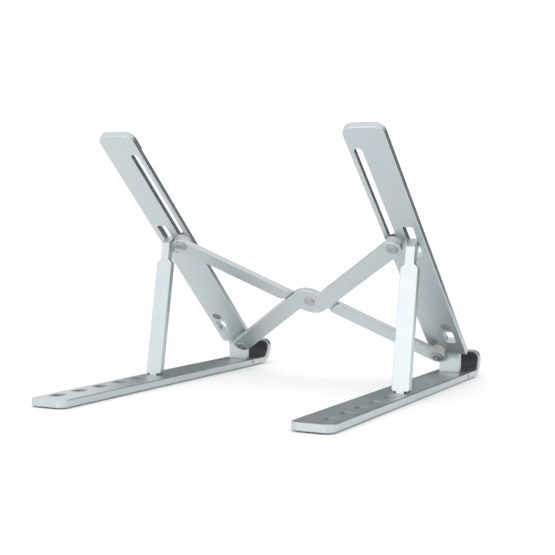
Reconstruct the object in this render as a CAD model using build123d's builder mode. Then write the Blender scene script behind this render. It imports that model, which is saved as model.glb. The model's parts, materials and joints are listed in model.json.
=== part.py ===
from build123d import *
import os
from math import atan2, cos, degrees, hypot, radians, sin, sqrt, tan

# Folding aluminium laptop stand, in millimetres. +Z is up, the device's front edge is at -Y, and the origin
# is on the floor under the middle of the stand. "Outward" runs from the middle line of a base towards the
# stand's open side, "along" runs up an arm from its bend, and heights are over the arm's underside.

# Both sides
spread = 147.0
plate = 4.0
edge_break = 0.35
small_break = 0.2
running_fit = 0.06
face_gap = 0.04

# Bases
base_length = 231.0
base_width = 22.0
base_corner = 5.0
foot_proud = 0.6
hook_rise = 11.4
hook_bend = 11.0
hook_corner = 5.0
hole_width = 6.6
hole_length = 8.6
hole_corner = 1.2
hole_pitch = 18.8
hole_count = 6
tab_slot_width = 13.0
tab_slot_front = 5.6
tab_slot_rear = 5.0
hole_play = 0.2

# Arms
arm_tilt = 41.0
arm_length = 191.1
arm_inner = -11.8
arm_outer = 10.5
arm_corner = 5.5
arm_step = 0.3
bend_rise = 13.0
bend_inner = 6.0
bend_outer = 10.0
hinge_setback = 26.5
hinge_pin_radius = 1.2
tab_width = 12.4
tab_outward = -0.5
slot_outward = -6.9
slot_width = 4.5
slot_top = 174.2
relief_depth = 1.1
relief_width = 8.6
relief_top = 178.0
strut_outward = 3.7
window_width = 5.8
window_corner = 1.3
window_span = (92.0, 117.0)
push_window_span = (12.0, 22.8)

# Struts
strut_width = 10.0
strut_corner = 1.5
strut_lean = 10.4
strut_pivot = 102.2
strut_stand_off = 2.4
strut_shoulder = 12.7
strut_top = -2.6
head_round = 2.0
head_width = 5.2
knuckle_radius = 1.95
neck_drop = 7.5
strut_pin_radius = 1.0
strut_pin_inner = -2.2
pin_recess = 0.3
crank_depth = 1.2
heel_gap = 0.1
tongue_width = 4.4
tongue_depth = 3.2
tongue_corner = 0.8

# Cross bars and rivets
bar_width = 10.8
bar_gap = 0.3
bar_thickness = 2.8
bar_reach = 83.3
bar_low_pivot = 4.0
spacer_height = 2.5
spacer_radius = 4.9
lap_gap = 0.2
lap_clearance = 1.0
lap_corner = 3.0
lap_washer_radius = 4.6
lobe_blend = 1.8
rivet_radius = 2.1
rivet_head_radius = 3.5
centre_head_radius = 3.3
tail_head_radius = 3.2
head_height = 0.9
slot_tail_height = 0.6
slot_washer_radius = 3.4
slot_washer_thickness = 0.31
slot_end_play = 0.2
dimple_radius = 0.9
dimple_depth = 0.35

# Soft parts
pad_thickness = 1.4
pad_proud = 1.0
pad_width = 10.5
pad_corner = 2.0
pad_outward = 3.45
pad_spans = {"lower": (30.0, 86.0), "upper": (122.0, 184.0)}
hook_pad = 1.6
hook_pad_width = 20.0
hook_pad_start = 5.7
hook_pad_slope = 1.8
hook_pad_drop = 1.2
hook_pad_corner = 4.0
bumper_radius = 3.0
bumper_along = 27.8
bumper_depth = 1.0
bumper_proud = 0.3
foot_thickness = 1.1
foot_widths = {"front": 18.0, "rear": 14.0}
foot_spans = {"front": (-103.8, -95.8), "rear": (107.0, 113.6)}

# Places worked out from them
front_y = -base_length / 2
rear_y = base_length / 2
base_top = foot_proud + plate
hinge_y = front_y + hinge_setback
hinge_z = foot_proud + plate / 2
bend_y = hinge_y + plate / 2
bend_z = hinge_z + bend_rise
tilt = radians(arm_tilt)
lean = radians(strut_lean)
outer_bend_z = bend_z + plate * (1 - sin(tilt)) / cos(tilt)
uphill = Vector(0, cos(tilt), sin(tilt))
above = Vector(0, -sin(tilt), cos(tilt))
arm_frame = Plane(origin=(0, bend_y, bend_z), x_dir=(1, 0, 0), z_dir=above)
arm_width = arm_outer - arm_inner
arm_middle = (arm_inner + arm_outer) / 2

bar_offset = (bar_width + bar_gap) / 2
bar_radius = bar_width / 2
lobe_radius = bar_offset + bar_radius
bar_half_span = hypot(bar_reach, bar_offset)
bar_rise = sqrt(bar_half_span**2 - (spread / 2 + slot_outward) ** 2)
bar_rest_angle = degrees(atan2(bar_rise, spread / 2 + slot_outward))
bar_turn = degrees(atan2(bar_reach, bar_offset)) - bar_rest_angle
bar_centre = bar_low_pivot + bar_rise
bar_high_pivot = bar_low_pivot + 2 * bar_rise
bar_inner_face = -spacer_height
bar_outer_face = bar_inner_face - bar_thickness
lap_middle = (bar_inner_face + bar_outer_face) / 2
relief_floor = plate - relief_depth
slot_tail_base = relief_floor + slot_washer_thickness + face_gap

strut_forward = Vector(0, -cos(lean), -sin(lean))
strut_up = Vector(0, -sin(lean), cos(lean))
pivot = Vector(0, bend_y, bend_z) + uphill * strut_pivot + above * (plate / 2)
strut_back = strut_stand_off + plate
heel = pivot - strut_forward * strut_back
strut_foot = (heel.Z - base_top) / cos(lean)
heel_y = heel.Y + strut_foot * sin(lean)
toe_drop = plate * sin(lean)
strut_bottom = (toe_drop + heel_gap) / cos(lean) - strut_foot
tongue_tip = (toe_drop - tongue_depth) / cos(lean) - strut_foot
first_hole_y = heel_y + tongue_depth * tan(lean) + hole_play - hole_length / 2


def across(sign, outward):
    """X of a place measured outward from the middle line of one side."""
    return sign * (spread / 2 + outward)


def middle(span):
    """Middle of a low and high value."""
    return (span[0] + span[1]) / 2


def length(span):
    """Distance from the low value to the high one."""
    return span[1] - span[0]


def save(piece, name):
    """Labels a finished piece and writes its file."""
    piece.part.label = name
    export_step(piece.part, f"parts/{name}.step")


os.makedirs("parts", exist_ok=True)

for side, sign in (("left", -1), ("right", 1)):
    base_x = across(sign, 0)
    tab_x = across(sign, tab_outward)
    strut_x = across(sign, strut_outward)
    slot_x = across(sign, slot_outward)
    pin_outer = across(sign, arm_outer)
    pin_inner = across(sign, strut_pin_inner)

    # Base: one plate, bent up at the front into the hook that holds the device's edge
    with BuildPart() as base:
        with BuildSketch(Plane.YZ.offset(base_x)):
            with BuildLine():
                Polyline(
                    (rear_y, foot_proud),
                    (front_y, foot_proud),
                    (front_y, base_top + hook_rise),
                    (front_y + plate, base_top + hook_rise),
                    (front_y + plate, base_top),
                    (rear_y, base_top),
                    close=True,
                )
            make_face()
            fillet(vertices().sort_by_distance((front_y, foot_proud))[0], hook_bend)
            fillet(vertices().sort_by_distance((front_y + plate, base_top))[0], hook_bend - plate)
        extrude(amount=base_width / 2, both=True)
        fillet(edges().filter_by(Axis.Z).group_by(Axis.Y)[-1], base_corner)
        fillet(edges().filter_by(Axis.Y).group_by(Axis.Z)[-1], hook_corner)
        chamfer(faces().filter_by(Axis.X).edges(), edge_break)
        # Height holes, and the slot that the arm's tab turns in
        with BuildSketch(Plane.XY):
            for number in range(hole_count):
                with Locations((strut_x, first_hole_y + number * hole_pitch)):
                    RectangleRounded(hole_width, hole_length, hole_corner)
            with Locations((tab_x, hinge_y + (tab_slot_rear - tab_slot_front) / 2)):
                Rectangle(tab_slot_width, tab_slot_front + tab_slot_rear)
        extrude(amount=base_top, mode=Mode.SUBTRACT)
        # Hinge pin hole across the plate, and shallow pockets for the feet
        with BuildSketch(Plane.YZ.offset(base_x)):
            with Locations((hinge_y, hinge_z)):
                Circle(hinge_pin_radius)
        extrude(amount=base_width, both=True, mode=Mode.SUBTRACT)
        with BuildSketch(Plane.XY.offset(foot_thickness)):
            for place, span in foot_spans.items():
                with Locations((base_x, middle(span))):
                    RectangleRounded(foot_widths[place], length(span), pad_corner)
        extrude(amount=-foot_thickness, mode=Mode.SUBTRACT)
    save(base, f"{side}_base")

    # Feet: silicone pads in the pockets, standing a little proud of the underside
    for place, span in foot_spans.items():
        with BuildPart() as foot:
            with BuildSketch(Plane.XY):
                with Locations((base_x, middle(span))):
                    RectangleRounded(foot_widths[place], length(span), pad_corner)
            extrude(amount=foot_thickness)
        save(foot, f"{side}_{place}_foot")

    # Hook pad: one silicone liner over the base's front end and up the inside of the hook
    with BuildPart() as liner:
        with BuildSketch(Plane.YZ.offset(base_x)):
            with BuildLine():
                Polyline(
                    (hinge_y - hook_pad_start, base_top),
                    (front_y + plate, base_top),
                    (front_y + plate, base_top + hook_rise - hook_pad_drop),
                    (front_y + plate + hook_pad, base_top + hook_rise - hook_pad_drop),
                    (front_y + plate + hook_pad, base_top + hook_pad),
                    (hinge_y - hook_pad_start - hook_pad_slope, base_top + hook_pad),
                    close=True,
                )
            make_face()
            fillet(vertices().sort_by_distance((front_y + plate, base_top))[0], hook_bend - plate)
            fillet(
                vertices().sort_by_distance((front_y + plate + hook_pad, base_top + hook_pad))[0],
                hook_bend - plate - hook_pad,
            )
        extrude(amount=hook_pad_width / 2, both=True)
        fillet(edges().filter_by(Axis.Y).group_by(Axis.Z)[-1], hook_pad_corner)
    save(liner, f"{side}_hook_pad")

    # Hinge pin of the arm: pressed into the base, free in the tab
    with BuildPart() as hinge_pin:
        with BuildSketch(Plane.YZ.offset(base_x)):
            with Locations((hinge_y, hinge_z)):
                Circle(hinge_pin_radius)
        extrude(amount=base_width / 2 - pin_recess, both=True)
    save(hinge_pin, f"{side}_hinge_pin")

    # Arm: a long flat plate, and the narrower tab that bends down from it to the hinge
    with BuildPart() as arm:
        with BuildSketch(arm_frame):
            with Locations((across(sign, arm_middle), middle((arm_step, arm_length)))):
                Rectangle(arm_width, arm_length - arm_step)
            fillet(vertices().group_by(Axis.Y)[-1], arm_corner)
            fillet(vertices().sort_by_distance((across(sign, arm_inner), arm_step))[0], arm_corner)
        extrude(amount=plate)
        chamfer(faces().filter_by(Axis((0, 0, 0), above)).edges(), edge_break)
        for width, reach, mode in (
            (arm_width, arm_length, Mode.INTERSECT),
            (tab_width, bend_outer, Mode.ADD),
        ):
            profile_x = across(sign, arm_middle if mode == Mode.INTERSECT else tab_outward)
            end = Vector(0, bend_y, bend_z) + uphill * reach
            with BuildSketch(Plane.YZ.offset(profile_x)):
                with BuildLine():
                    Polyline(
                        (bend_y, hinge_z),
                        (bend_y, bend_z),
                        (end.Y, end.Z),
                        (end.Y - plate * sin(tilt), end.Z + plate * cos(tilt)),
                        (bend_y - plate, outer_bend_z),
                        (bend_y - plate, hinge_z),
                        close=True,
                    )
                make_face()
                fillet(vertices().sort_by_distance((bend_y, bend_z))[0], bend_inner)
                fillet(vertices().sort_by_distance((bend_y - plate, outer_bend_z))[0], bend_outer)
                with Locations((hinge_y, hinge_z)):
                    Circle(plate / 2)
            extrude(amount=width / 2, both=True, mode=mode)
        # Slot for the sliding rivet, strut window, push window, and the hole of the fixed rivet
        with BuildSketch(arm_frame):
            with Locations((slot_x, middle((bar_high_pivot - slot_end_play, slot_top)))):
                SlotCenterToCenter(slot_top - bar_high_pivot + slot_end_play, slot_width, rotation=90)
            for span in (window_span, push_window_span):
                with Locations((strut_x, middle(span))):
                    RectangleRounded(window_width, length(span), window_corner)
            with Locations((slot_x, bar_low_pivot)):
                Circle(rivet_radius)
        extrude(amount=plate, mode=Mode.SUBTRACT)
        flats = faces().filter_by(Axis((0, 0, 0), above))
        underside = flats.group_by(Axis((0, 0, 0), above))[0].sort_by(SortBy.AREA)[-1]
        chamfer([edge for wire in underside.inner_wires() for edge in wire.edges()], small_break)
        # Relief that keeps the rivet tails below the device, and shallow pockets for the two pads
        with BuildSketch(arm_frame.offset(relief_floor)):
            relief_x = across(sign, arm_inner + relief_width / 2)
            with Locations((relief_x, middle((-arm_corner, relief_top)))):
                Rectangle(relief_width, relief_top + arm_corner)
        extrude(amount=plate, mode=Mode.SUBTRACT)
        with BuildSketch(arm_frame.offset(plate - pad_thickness + pad_proud)):
            for span in pad_spans.values():
                with Locations((across(sign, pad_outward), middle(span))):
                    RectangleRounded(pad_width, length(span), pad_corner)
        extrude(amount=plate, mode=Mode.SUBTRACT)
        # Pocket for the bumper under the arm, the blind hole of the strut's pin and the hinge hole
        with BuildSketch(arm_frame):
            with Locations((strut_x, bumper_along)):
                Circle(bumper_radius)
        extrude(amount=bumper_depth, mode=Mode.SUBTRACT)
        with BuildSketch(Plane.YZ.offset(pin_outer)):
            with Locations((pivot.Y, pivot.Z)):
                Circle(strut_pin_radius)
        extrude(amount=pin_inner - pin_outer, mode=Mode.SUBTRACT)
        with BuildSketch(Plane.YZ.offset(tab_x)):
            with Locations((hinge_y, hinge_z)):
                Circle(hinge_pin_radius + running_fit)
        extrude(amount=tab_width, both=True, mode=Mode.SUBTRACT)
    save(arm, f"{side}_arm")

    # Arm pads: silicone strips that the device leans on
    for place, span in pad_spans.items():
        with BuildPart() as pad:
            with BuildSketch(arm_frame.offset(plate - pad_thickness + pad_proud)):
                with Locations((across(sign, pad_outward), middle(span))):
                    RectangleRounded(pad_width, length(span), pad_corner)
            extrude(amount=pad_thickness)
        save(pad, f"{side}_{place}_arm_pad")

    # Bumper: a round pad in the arm's underside that the folded strut rests on
    with BuildPart() as bumper:
        with BuildSketch(arm_frame.offset(bumper_depth)):
            with Locations((strut_x, bumper_along)):
                Circle(bumper_radius)
        extrude(amount=-bumper_depth - bumper_proud)
    save(bumper, f"{side}_bumper")

    # Strut: a plate with a tongue at its foot and a narrow cranked head that turns in the arm's window
    strut_frame = Plane(origin=pivot + Vector(strut_x, 0, 0), x_dir=(1, 0, 0), z_dir=strut_forward)
    strut_side = Plane(origin=pivot + Vector(strut_x, 0, 0), x_dir=strut_up, z_dir=(1, 0, 0))
    with BuildPart() as strut:
        with BuildSketch(strut_frame.offset(-strut_back)):
            with Locations((0, middle((strut_bottom, -strut_shoulder)))):
                Rectangle(strut_width, -strut_shoulder - strut_bottom)
            chamfer(vertices().group_by(Axis.Y)[-1], (strut_width - head_width) / 2 - edge_break)
            fillet(vertices().group_by(Axis.Y)[0], strut_corner)
        extrude(amount=plate)
        chamfer(faces().filter_by(Axis((0, 0, 0), strut_forward)).edges(), edge_break)
        with BuildSketch(strut_frame.offset(-strut_back)):
            with Locations((0, middle((tongue_tip, strut_bottom + strut_corner)))):
                Rectangle(tongue_width, strut_bottom + strut_corner - tongue_tip)
            fillet(vertices().group_by(Axis.Y)[0], tongue_corner)
            with Locations((0, middle((-strut_shoulder - strut_width, -neck_drop)))):
                Rectangle(head_width, strut_shoulder + strut_width - neck_drop)
        extrude(amount=plate)
        # Neck and knuckle round the pin, side by side with the plate
        with BuildSketch(strut_side):
            with BuildLine():
                Polyline(
                    (-neck_drop, -strut_stand_off),
                    (-knuckle_radius, 0),
                    (knuckle_radius, 0),
                    (knuckle_radius, -crank_depth),
                    (strut_top, -strut_back),
                    (-neck_drop, -strut_back),
                    close=True,
                )
            make_face()
            fillet(vertices().sort_by_distance((strut_top, -strut_back))[0], head_round)
            Circle(knuckle_radius)
        extrude(amount=head_width / 2, both=True)
        with BuildSketch(strut_side):
            Circle(strut_pin_radius + running_fit)
        extrude(amount=head_width, both=True, mode=Mode.SUBTRACT)
    save(strut, f"{side}_strut")

    # Strut pin: pressed in from the arm's outer edge
    with BuildPart() as strut_pin:
        with BuildSketch(Plane.YZ.offset(across(sign, arm_outer - pin_recess))):
            with Locations((pivot.Y, pivot.Z)):
                Circle(strut_pin_radius)
        extrude(amount=-sign * (arm_outer - pin_recess - strut_pin_inner))
    save(strut_pin, f"{side}_strut_pin")

    # Fixed rivet: held in the arm, with the bar's lower end turning on it over a spacer cut away at the bend
    with BuildPart() as low_rivet:
        with BuildSketch(arm_frame.offset(relief_floor)):
            with Locations((slot_x, bar_low_pivot)):
                Circle(tail_head_radius)
        extrude(amount=head_height)
        with BuildSketch(arm_frame.offset(relief_floor)):
            with Locations((slot_x, bar_low_pivot)):
                Circle(rivet_radius)
        extrude(amount=bar_outer_face - face_gap - relief_floor)
        with BuildSketch(arm_frame.offset(bar_outer_face - face_gap)):
            with Locations((slot_x, bar_low_pivot)):
                Circle(rivet_head_radius)
        extrude(amount=-head_height)
        chamfer(faces().sort_by(Axis((0, 0, 0), above))[0].edges(), edge_break)
        with BuildSketch(arm_frame.offset(bar_outer_face - face_gap - head_height)):
            with Locations((slot_x, bar_low_pivot)):
                Circle(dimple_radius)
        extrude(amount=dimple_depth, mode=Mode.SUBTRACT)
    save(low_rivet, f"{side}_pivot_rivet")

    with BuildPart() as low_spacer:
        with BuildSketch(arm_frame):
            with Locations((slot_x, bar_low_pivot)):
                Circle(spacer_radius)
                Circle(rivet_radius, mode=Mode.SUBTRACT)
        extrude(amount=bar_inner_face + face_gap)
        add(arm.part, mode=Mode.SUBTRACT)
    save(low_spacer, f"{side}_pivot_spacer")

    # Sliding rivet: held in the bar's upper end, running in the arm's slot on a spacer and a thin washer
    with BuildPart() as slot_rivet:
        with BuildSketch(arm_frame.offset(slot_tail_base)):
            with Locations((slot_x, bar_high_pivot)):
                Circle(tail_head_radius)
        extrude(amount=slot_tail_height)
        with BuildSketch(arm_frame.offset(slot_tail_base)):
            with Locations((slot_x, bar_high_pivot)):
                Circle(rivet_radius)
        extrude(amount=bar_outer_face - slot_tail_base)
        with BuildSketch(arm_frame.offset(bar_outer_face)):
            with Locations((slot_x, bar_high_pivot)):
                Circle(rivet_head_radius)
        extrude(amount=-head_height)
        chamfer(faces().sort_by(Axis((0, 0, 0), above))[0].edges(), edge_break)
        with BuildSketch(arm_frame.offset(bar_outer_face - head_height)):
            with Locations((slot_x, bar_high_pivot)):
                Circle(dimple_radius)
        extrude(amount=dimple_depth, mode=Mode.SUBTRACT)
    save(slot_rivet, f"{side}_slot_rivet")

    with BuildPart() as slot_spacer:
        with BuildSketch(arm_frame.offset(-face_gap)):
            with Locations((slot_x, bar_high_pivot)):
                Circle(spacer_radius)
                Circle(rivet_radius, mode=Mode.SUBTRACT)
        extrude(amount=bar_inner_face + face_gap)
    save(slot_spacer, f"{side}_slot_spacer")

    with BuildPart() as slot_washer:
        with BuildSketch(arm_frame.offset(relief_floor + face_gap)):
            with Locations((slot_x, bar_high_pivot)):
                Circle(slot_washer_radius)
                Circle(rivet_radius, mode=Mode.SUBTRACT)
        extrude(amount=slot_washer_thickness)
    save(slot_washer, f"{side}_slot_washer")

# Cross bars: two cranked bars that cross at a half lap, so that their faces are flush and they nest when
# folded. Each is drawn as it lies folded, its two halves on either side of the middle, and turned to rest.
centre_point = arm_frame.from_local_coords((0, bar_centre, 0))
centre_frame = Plane(origin=centre_point, x_dir=(1, 0, 0), z_dir=above)
for name, sign in (("rear", 1), ("front", -1)):
    turn = radians(sign * bar_turn)
    own_across = Vector(1, 0, 0) * cos(turn) + uphill * sin(turn)
    bar_frame = Plane(origin=centre_point, x_dir=own_across, z_dir=above)
    with BuildPart() as bar:
        with BuildSketch(bar_frame.offset(bar_outer_face)):
            for half in (-1, 1):
                with Locations((-half * sign * bar_offset, half * bar_reach / 2)):
                    Rectangle(bar_width, bar_reach)
                with Locations((-half * sign * bar_offset, half * bar_reach)):
                    Circle(bar_radius)
            Circle(lobe_radius)
            for half in (-1, 1):
                valley = (-half * sign * bar_gap / 2, half * lobe_radius)
                fillet(vertices().sort_by_distance(valley)[0], lobe_blend)
        extrude(amount=bar_thickness)
        # Half lap: cut square to the bar, to a little over half its thickness, with its outer corners rounded
        with BuildSketch(bar_frame.offset(lap_middle - sign * lap_gap / 2)):
            Rectangle(4 * lobe_radius, 2 * (lobe_radius + lobe_blend + lap_clearance))
        extrude(amount=sign * bar_thickness, mode=Mode.SUBTRACT)
        upright = edges().filter_by(Axis((0, 0, 0), above))
        steps = upright.filter_by(lambda edge: edge.length < 0.6 * bar_thickness)
        fillet(steps.sort_by_distance(centre_point)[-2:], lap_corner)
        layers = faces().group_by(Axis((0, 0, 0), above))
        chamfer(layers[0].edges() + layers[-1].edges(), edge_break)
        with BuildSketch(bar_frame.offset(bar_outer_face)):
            for half in (-1, 1):
                with Locations((-half * sign * bar_offset, half * bar_reach)):
                    Circle(rivet_radius + (running_fit if half < 0 else 0))
            Circle(rivet_radius + (running_fit if name == "front" else 0))
        extrude(amount=bar_thickness, mode=Mode.SUBTRACT)
    save(bar, f"{name}_cross_bar")

# Centre rivet and the thin washer between the two halves of the lap
with BuildPart() as centre_rivet:
    with BuildSketch(centre_frame.offset(bar_outer_face)):
        Circle(centre_head_radius)
    extrude(amount=-head_height)
    chamfer(faces().sort_by(Axis((0, 0, 0), above))[0].edges(), edge_break)
    with BuildSketch(centre_frame.offset(bar_outer_face)):
        Circle(rivet_radius)
    extrude(amount=bar_thickness + face_gap)
    with BuildSketch(centre_frame.offset(bar_inner_face + face_gap)):
        Circle(centre_head_radius)
    extrude(amount=head_height)
    with BuildSketch(centre_frame.offset(bar_outer_face - head_height)):
        Circle(dimple_radius)
    extrude(amount=dimple_depth, mode=Mode.SUBTRACT)
save(centre_rivet, "centre_rivet")

with BuildPart() as centre_washer:
    with BuildSketch(centre_frame.offset(lap_middle - lap_gap / 2)):
        Circle(lap_washer_radius)
        Circle(rivet_radius, mode=Mode.SUBTRACT)
    extrude(amount=lap_gap - face_gap)
save(centre_washer, "centre_washer")
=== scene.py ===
import json
from math import cos, radians, sin

import bmesh
import bpy
from mathutils import Matrix, Vector


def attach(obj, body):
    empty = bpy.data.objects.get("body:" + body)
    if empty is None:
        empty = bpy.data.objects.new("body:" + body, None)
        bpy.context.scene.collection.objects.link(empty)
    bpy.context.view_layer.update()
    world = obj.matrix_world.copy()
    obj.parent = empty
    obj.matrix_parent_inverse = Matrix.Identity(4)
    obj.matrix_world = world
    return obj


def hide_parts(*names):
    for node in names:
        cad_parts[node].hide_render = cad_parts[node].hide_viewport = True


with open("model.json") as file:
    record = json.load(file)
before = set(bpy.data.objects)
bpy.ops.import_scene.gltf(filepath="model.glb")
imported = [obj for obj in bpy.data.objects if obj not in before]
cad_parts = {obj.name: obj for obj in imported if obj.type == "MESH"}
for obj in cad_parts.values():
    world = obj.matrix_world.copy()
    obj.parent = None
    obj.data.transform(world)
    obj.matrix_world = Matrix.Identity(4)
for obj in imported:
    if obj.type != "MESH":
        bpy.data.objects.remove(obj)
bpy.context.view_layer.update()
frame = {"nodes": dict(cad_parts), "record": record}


# Bases: two bars of 4 mm aluminium plate, each bent up at the front into the hook that stops
# the device. They are punched and drilled, blasted with fine glass beads and silver anodised,
# as are the arms, struts and bars.
class Signal:
    """A value that changes over a surface. Arithmetic on it adds Math nodes to its finish."""

    def __init__(self, finish, socket):
        self.finish = finish
        self.socket = socket

    def maths(self, operation, first, second):
        return self.finish.node("ShaderNodeMath", {0: first, 1: second}, {"operation": operation})

    def __add__(self, other):
        return self.maths("ADD", self, other)

    __radd__ = __add__

    def __sub__(self, other):
        return self.maths("SUBTRACT", self, other)

    def __rsub__(self, other):
        return self.maths("SUBTRACT", other, self)

    def __mul__(self, other):
        return self.maths("MULTIPLY", self, other)

    __rmul__ = __mul__

    def ramp(self, low, high):
        """0 below low, 1 over high, and smooth between them."""
        values = {"Value": self, "From Min": low, "From Max": high}
        settings = {"interpolation_type": "SMOOTHSTEP"}
        return self.finish.node("ShaderNodeMapRange", values, settings)


class Finish:
    """A material in the making: one Principled shader, with patterns on Object coordinates."""

    def __init__(self, name, **constants):
        self.material = bpy.data.materials.new(name)
        self.material.use_nodes = True
        self.nodes = self.material.node_tree.nodes
        self.links = self.material.node_tree.links
        self.shader = self.nodes["Principled BSDF"]
        self.paint(**constants)
        self.place = self.node("ShaderNodeTexCoord", output="Object")

    def feed(self, node, values):
        for socket, value in values.items():
            if isinstance(value, Signal):
                self.links.new(value.socket, node.inputs[socket])
            else:
                node.inputs[socket].default_value = value

    def node(self, kind, values=None, settings=None, output=0):
        """Adds a node: its settings first, then the values or links of its sockets."""
        made = self.nodes.new(kind)
        for name, value in (settings or {}).items():
            setattr(made, name, value)
        self.feed(made, values or {})
        return Signal(self, made.outputs[output])

    def noise(self, scale, detail=2.0):
        values = {"Vector": self.place, "Scale": scale, "Detail": detail}
        return self.node("ShaderNodeTexNoise", values)

    def blend(self, share, first, second):
        """The first colour where share is 0 and the second where it is 1."""
        values = {0: share, 6: first, 7: second}
        return self.node("ShaderNodeMix", values, {"data_type": "RGBA"}, output=2)

    def bump(self, height, depth):
        """A normal that follows a height, which is depth metres where it is 1."""
        return self.node("ShaderNodeBump", {"Height": height, "Distance": depth, "Strength": 1.0})

    def paint(self, **values):
        """Links or sets the shader's own sockets, and gives the material back."""
        sockets = {name.replace("_", " ").title(): value for name, value in values.items()}
        self.feed(self.shader, sockets)
        return self.material


def blasted_aluminium(name, silver=(0.575, 0.625, 0.637), roughness=0.42):
    """Bead-blasted and anodised: tiny even pits, clouds from the dye bath, faint handling marks."""
    cool, warm = (0.965, 0.98, 1.0), (1.0, 0.995, 0.985)
    glint, glint_share = (0.80, 0.81, 0.82, 1.0), 0.10
    cloud_gloss, smear_gloss, pit_gloss = 0.08, 0.10, 0.12
    speck_height, pit_depth = 0.5, 0.000016
    average = 0.5

    finish = Finish(name, metallic=1.0)
    pits = finish.noise(2600.0, detail=3.0)
    specks = finish.noise(5200.0, detail=1.0)
    clouds = finish.noise(38.0)
    smears = finish.noise(140.0, detail=4.0)
    cooler, warmer = [
        (*(part * share for part, share in zip(silver, tint)), 1.0) for tint in (cool, warm)
    ]
    tinted = finish.blend(clouds.ramp(0.35, 0.65), cooler, warmer)
    colour = finish.blend(specks.ramp(0.62, 0.74) * glint_share, tinted, glint)
    polish = (clouds - average) * cloud_gloss + (smears - average) * smear_gloss
    polish = polish + (pits - average) * pit_gloss
    normal = finish.bump(pits + specks * speck_height, pit_depth)
    return finish.paint(base_color=colour, roughness=polish + roughness, normal=normal)


def dress(names, material):
    """Gives CAD nodes their finish."""
    for name in names:
        node = frame["nodes"][name]
        node.data.materials.clear()
        node.data.materials.append(material)


dress(("left_base", "right_base"), blasted_aluminium("base_aluminium"))


# Feet: two silicone pads under each base, pressed into shallow pockets and standing a little
# proud, so that the stand doesn't slide. Like the other soft parts they are moulded, with a
# matt skin and softly rounded rims.
ACROSS = Vector((1, 0, 0))
ALONG = Vector((0, 1, 0))
UP = Vector((0, 0, 1))
SHARP_ANGLE = radians(40)


def span(node, direction):
    """Lowest and highest place of a CAD node's points along a direction."""
    places = [direction.dot(vertex.co) for vertex in frame["nodes"][node].data.vertices]
    return min(places), max(places)


def axes_of(up):
    """Matrix whose Z is up, and whose X is the stand's own unless that is up itself."""
    aside = ALONG if abs(up.x) > 0.5 else ACROSS
    return Matrix((aside, up.cross(aside), up)).transposed()


def seat_of(node, up):
    """Middle and size of a CAD node, measured along the axes of a face that looks up."""
    axes = axes_of(up)
    spans = [span(node, axis) for axis in axes.transposed()]
    middle = axes @ Vector([(low + high) / 2 for low, high in spans])
    return middle, Vector([high - low for low, high in spans])


def piece_from(mesh, name, material, body, node):
    """Turns a finished bmesh into a piece that rides on a body and stands for its CAD node."""
    bmesh.ops.recalc_face_normals(mesh, faces=mesh.faces)
    data = bpy.data.meshes.new(name)
    mesh.to_mesh(data)
    mesh.free()
    data.shade_smooth()
    data.set_sharp_from_angle(angle=SHARP_ANGLE)
    piece = bpy.data.objects.new(name, data)
    bpy.context.scene.collection.objects.link(piece)
    data.materials.append(material)
    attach(piece, body)
    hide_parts(node)


def moulded_silicone(name, colour=(0.022, 0.022, 0.024), roughness=0.62):
    """Silicone from a spark-eroded mould: a fine even skin, a little dust, and a soft sheen."""
    paling, haze = 2.6, 0.02
    dust_share, drift_share = 0.35, 0.2
    skin_gloss, dust_gloss = 0.16, 0.12
    skin_depth = 0.00003
    average = 0.5

    finish = Finish(name, metallic=0.0)
    skin = finish.noise(3800.0, detail=2.0)
    dust = finish.noise(900.0, detail=5.0).ramp(0.56, 0.80)
    drift = finish.noise(70.0)
    paler = tuple(min(1.0, paling * part + haze) for part in colour)
    share = dust * dust_share + (drift - average) * drift_share
    shade = finish.blend(share, (*colour, 1.0), (*paler, 1.0))
    matt = (skin - average) * skin_gloss + dust * dust_gloss + roughness
    return finish.paint(base_color=shade, roughness=matt, normal=finish.bump(skin, skin_depth))


def rounded_pad(middle, size, up, corner, rim, segments=4):
    """A slab with rounded corners and rims, lying on a face that looks up."""
    facing = 0.9
    mesh = bmesh.new()
    bmesh.ops.create_cube(mesh, size=1.0)
    bmesh.ops.scale(mesh, vec=size, verts=mesh.verts)
    rounding = {"affect": "EDGES", "profile": 0.5, "material": -1}
    heights = {edge: edge.verts[0].co.z - edge.verts[1].co.z for edge in mesh.edges}
    upright = [edge for edge, height in heights.items() if abs(height) > size.z / 2]
    bmesh.ops.bevel(mesh, geom=upright, offset=corner, segments=segments * 2, **rounding)
    flats = [face for face in mesh.faces if abs(face.normal.z) > facing]
    rims = {edge for face in flats for edge in face.edges}
    bmesh.ops.bevel(mesh, geom=list(rims), offset=rim, segments=segments, **rounding)
    bmesh.ops.rotate(mesh, matrix=axes_of(up), verts=mesh.verts)
    bmesh.ops.translate(mesh, vec=middle, verts=mesh.verts)
    return mesh


foot_silicone = moulded_silicone("foot_silicone")
for side in ("left", "right"):
    for place in ("front", "rear"):
        node = f"{side}_{place}_foot"
        middle, size = seat_of(node, UP)
        foot = rounded_pad(middle, size, UP, corner=0.002, rim=0.0003)
        piece_from(foot, f"{node}_pad", foot_silicone, f"{side}_base", node)


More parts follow.
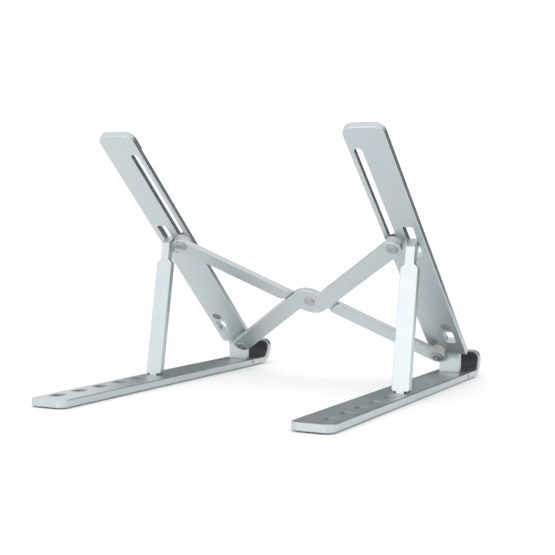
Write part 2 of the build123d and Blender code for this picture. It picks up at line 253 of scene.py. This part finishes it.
# Hook liners: one silicone moulding in each hook, over the base's front end and up the inside
# of the bend, so that the device's edge neither slips nor scratches. It is stuck on, and
# bevelled where the arm's tab comes down.
liner_silicone = moulded_silicone("liner_silicone", roughness=0.66)
liner_thickness = 0.0016
liner_bend = 0.007
liner_bevel = 0.0018
bevel_fade = 0.006
bend_steps = 16
bend_reach = liner_bend * radians(90)
for side in ("left", "right"):
    node = f"{side}_hook_pad"
    middle, size = seat_of(node, UP)
    floor_reach = size.y - liner_bend
    reach = floor_reach + bend_reach + size.z - liner_bend
    flat_size = Vector((size.x, reach, liner_thickness))
    liner = rounded_pad(Vector((0, 0, 0)), flat_size, UP, corner=0.0035, rim=0.0004)
    for step in range(bend_steps + 1):
        cut = floor_reach - reach / 2 + bend_reach * step / bend_steps
        everything = liner.verts[:] + liner.edges[:] + liner.faces[:]
        bmesh.ops.bisect_plane(liner, geom=everything, plane_co=(0, cut, 0), plane_no=ALONG)
    # The flat strip's floor end is bevelled first, and the strip then follows the plate's bend
    for vertex in liner.verts:
        along = vertex.co.y + reach / 2
        lift = vertex.co.z + liner_thickness / 2
        along += liner_bevel * lift / liner_thickness * max(1 - along / bevel_fade, 0.0)
        turn = min(max(along - floor_reach, 0.0), bend_reach) / liner_bend
        rise = max(along - floor_reach - bend_reach, 0.0)
        vertex.co.y = size.y / 2 - min(along, floor_reach) - (liner_bend - lift) * sin(turn)
        vertex.co.z = rise + liner_bend - (liner_bend - lift) * cos(turn) - size.z / 2
    bmesh.ops.translate(liner, vec=middle, verts=liner.verts)
    piece_from(liner, f"{node}_liner", liner_silicone, f"{side}_base", node)


# Hinge pins: ground steel pins, pressed into the base from the side, that each arm's tab turns
# on. Their ends show as small round spots on the base's edges.
def turned(profile, middle, up, segments=64):
    """A body of revolution about up, through places (radius, height) from end to end."""
    mesh = bmesh.new()
    radius, height = profile[0]
    start = bmesh.ops.create_circle(mesh, cap_ends=True, radius=radius, segments=segments)
    bmesh.ops.translate(mesh, vec=(0, 0, height), verts=start["verts"])
    edges = mesh.edges[:]
    for next_radius, next_height in profile[1:]:
        made = bmesh.ops.extrude_edge_only(mesh, edges=edges)["geom"]
        ring = [part for part in made if isinstance(part, bmesh.types.BMVert)]
        edges = [part for part in made if isinstance(part, bmesh.types.BMEdge)]
        growth = next_radius / radius
        bmesh.ops.scale(mesh, vec=(growth, growth, 1.0), verts=ring)
        bmesh.ops.translate(mesh, vec=(0, 0, next_height - height), verts=ring)
        radius, height = next_radius, next_height
    bmesh.ops.contextual_create(mesh, geom=edges)
    bmesh.ops.rotate(mesh, matrix=axes_of(up), verts=mesh.verts)
    bmesh.ops.translate(mesh, vec=middle, verts=mesh.verts)
    return mesh


def pin_profile(radius, half, break_width=0.00025):
    """Outline of a plain pin with broken ends."""
    return (
        (radius - break_width, -half),
        (radius, break_width - half),
        (radius, half - break_width),
        (radius - break_width, half),
    )


def fit_pin(node, body):
    """Puts a steel pin across the stand in its CAD node's place."""
    middle, size = seat_of(node, ACROSS)
    pin = turned(pin_profile(size.x / 2, size.z / 2), middle, ACROSS, segments=32)
    piece_from(pin, f"{node}_turned", pin_steel, body, node)


pin_steel = blasted_aluminium("pin_steel", (0.45, 0.45, 0.46), 0.3)
for side in ("left", "right"):
    fit_pin(f"{side}_hinge_pin", f"{side}_base")


# Arms: long plates of the same aluminium, bent down at the front into the tab that stands in
# the base. Each has a long slot for the sliding rivet, a window for the strut's head and a
# small one over the stowed strut's foot.
dress(("left_arm", "right_arm"), blasted_aluminium("arm_aluminium"))


# Arm pads and bumpers: silicone strips let into the arm's upper face, which the device leans
# on, and one small round buffer in its underside, which keeps the folded strut from rattling.
mount_axes = {mount["name"]: Vector(mount["axis"]) for mount in frame["record"]["mounts"]}
pad_up = mount_axes["right_upper_pad_face"]
pad_silicone = moulded_silicone("pad_silicone")
bumper_silicone = moulded_silicone("bumper_silicone", (0.20, 0.21, 0.215), 0.55)
# Places on the button's rounded rim, in from its side and down from its top
button_rim = ((0.0, 0.0003), (0.0002, 0.00012), (0.0007, 0.0))
for side in ("left", "right"):
    body = f"{side}_arm"
    for place in ("lower", "upper"):
        node = f"{side}_{place}_arm_pad"
        middle, size = seat_of(node, pad_up)
        pad = rounded_pad(middle, size, pad_up, corner=0.002, rim=0.0004)
        piece_from(pad, f"{node}_strip", pad_silicone, body, node)
    node = f"{side}_bumper"
    middle, size = seat_of(node, -pad_up)
    radius = size.x / 2
    top = size.z / 2
    outline = [(radius, -top)] + [(radius - inset, top - drop) for inset, drop in button_rim]
    button = turned(outline, middle, -pad_up)
    piece_from(button, f"{node}_button", bumper_silicone, body, node)


# Struts: narrow plates of the same aluminium that prop the arms up. The cranked head turns on
# a steel pin across the arm's window, pressed in from the arm's outer edge, and the tongue at
# the foot drops into one of the base's holes.
dress(("left_strut", "right_strut"), blasted_aluminium("strut_aluminium"))
for side in ("left", "right"):
    fit_pin(f"{side}_strut_pin", f"{side}_arm")


# Cross bars: two flat bars of the same aluminium, cranked, that cross at a milled half lap.
# They are riveted to the arms and to each other, and keep the sides parallel as it opens.
dress(("rear_cross_bar", "front_cross_bar"), blasted_aluminium("bar_aluminium"))


# Rivets and washers: aluminium rivets with a dimple pressed into their domed heads, and tails
# spread over at the back. Nylon spacers and washers keep the bars off the arms, and in the
# middle off each other.
def rivet_profile(head, tail, tail_height, half):
    """Outline of a rivet, from the dimple in its head, over the dome and shank, to its tail."""
    shank = 0.0021
    head_height = 0.0009
    dimple = ((0.0004, 0.00035), (0.0008, 0.00030), (0.0011, 0.00008), (0.0014, 0.0))
    # Places in from the rim, and down from the crown or from the tail's end
    dome_rim = ((0.0010, 0.00006), (0.0005, 0.00018), (0.0002, 0.00036), (0.0, 0.00062))
    tail_rim = ((0.0, 0.0003), (0.00025, 0.00008), (0.0007, 0.0))
    length = 2 * half
    outline = [
        *dimple,
        *((head - inset, drop) for inset, drop in dome_rim),
        (head, head_height),
        (shank, head_height),
        (shank, length - tail_height),
        (tail, length - tail_height),
        *((tail - inset, length - drop) for inset, drop in tail_rim),
    ]
    return [(radius, height - half) for radius, height in outline]


rivet_aluminium = blasted_aluminium("rivet_aluminium", (0.43, 0.44, 0.44), 0.33)
centre_aluminium = blasted_aluminium("centre_rivet_aluminium", (0.46, 0.45, 0.43), 0.30)
# Each rivet's body, metal, and its tail's radius and height
rivets = {
    "left_pivot_rivet": ("left_arm", rivet_aluminium, 0.0032, 0.0009),
    "right_pivot_rivet": ("right_arm", rivet_aluminium, 0.0032, 0.0009),
    "left_slot_rivet": ("rear_bar", rivet_aluminium, 0.0032, 0.0006),
    "right_slot_rivet": ("front_bar", rivet_aluminium, 0.0032, 0.0006),
    "centre_rivet": ("rear_bar", centre_aluminium, 0.0033, 0.0009),
}
for node, (body, metal, tail, tail_height) in rivets.items():
    middle, size = seat_of(node, pad_up)
    profile = rivet_profile(size.x / 2, tail, tail_height, size.z / 2)
    rivet = turned(profile, middle, pad_up)
    piece_from(rivet, f"{node}_pressed", metal, body, node)
pivot_spacers = ["left_pivot_spacer", "right_pivot_spacer"]
slot_spacers = ["left_slot_spacer", "right_slot_spacer"]
washers = ["left_slot_washer", "right_slot_washer", "centre_washer"]
dress(pivot_spacers, moulded_silicone("pivot_spacer_nylon", (0.50, 0.47, 0.42), 0.45))
dress(slot_spacers + washers, moulded_silicone("slot_spacer_nylon", (0.50, 0.50, 0.49), 0.42))


# Studio: a white floor in a white room. A soft box stands behind the camera, on its right, and
# a dark board stands beyond the stand: only polished faces see it, as they would see a dark
# device leaning there.
bpy.context.scene.view_settings.view_transform = "Standard"
room_strength = 1.12
room = bpy.data.worlds.new("room")
room.use_nodes = True
background = room.node_tree.nodes["Background"]
background.inputs["Color"].default_value = (1.0, 1.0, 1.0, 1.0)
background.inputs["Strength"].default_value = room_strength
room.cycles.sampling_method = "NONE"
bpy.context.scene.world = room


def staged(mesh, name, colour):
    """Turns a finished bmesh into a matt thing of the studio."""
    data = bpy.data.meshes.new(name)
    mesh.to_mesh(data)
    mesh.free()
    thing = bpy.data.objects.new(name, data)
    bpy.context.scene.collection.objects.link(thing)
    paper = Finish(f"{name}_paper", roughness=1.0).paint(base_color=(*colour, 1.0))
    data.materials.append(paper)
    return thing


floor_radius = 30.0
floor_disc = bmesh.new()
bmesh.ops.create_circle(floor_disc, cap_ends=True, radius=floor_radius, segments=96)
staged(floor_disc, "floor", (0.97, 0.97, 0.97))

board_size = (0.72, 0.42, 1.0)
board_middle = (-0.08, -0.25, 0.24)
board_sheet = bmesh.new()
stand_up = Matrix.Rotation(radians(90), 3, "X")
bmesh.ops.create_grid(board_sheet, x_segments=1, y_segments=1, size=0.5)
bmesh.ops.scale(board_sheet, vec=board_size, verts=board_sheet.verts)
bmesh.ops.rotate(board_sheet, matrix=stand_up, verts=board_sheet.verts)
bmesh.ops.translate(board_sheet, vec=board_middle, verts=board_sheet.verts)
board = staged(board_sheet, "dark_board", (0.04, 0.04, 0.042))
board.visible_camera = False
board.visible_diffuse = False
board.visible_transmission = False
board.visible_shadow = False

box_place = Vector((0.12, 1.4, 0.38))
box_target = Vector((0, 0, 0.05))
soft_box = bpy.data.lights.new("key", "AREA")
soft_box.shape = "RECTANGLE"
soft_box.size = 0.9
soft_box.size_y = 0.75
soft_box.energy = 2.7
lamp = bpy.data.objects.new("key", soft_box)
lamp.location = box_place
lamp.rotation_euler = (box_target - box_place).to_track_quat("-Z", "Y").to_euler()
bpy.context.scene.collection.objects.link(lamp)


# Camera: it stands behind the stand, a little to the side and just over the desk, and has a
# long lens. It leans by a fraction of a degree.
camera_place = (-0.2833, 0.5693, 0.0923)
azimuth = radians(206.485)
elevation = radians(2.581)
roll = radians(0.288)
back = Vector((sin(azimuth) * cos(elevation), -cos(azimuth) * cos(elevation), sin(elevation)))
level = (-back).cross(UP).normalized()
upright = level.cross(-back)
right = level * cos(roll) + upright * sin(roll)
up = upright * cos(roll) - level * sin(roll)
turn = Matrix((right, up, back)).transposed().to_4x4()
lens = bpy.data.cameras.new("camera")
lens.sensor_width = 36.0
lens.lens = 73.09
camera = bpy.data.objects.new("camera", lens)
camera.matrix_world = Matrix.Translation(camera_place) @ turn
bpy.context.scene.collection.objects.link(camera)
bpy.context.scene.camera = camera
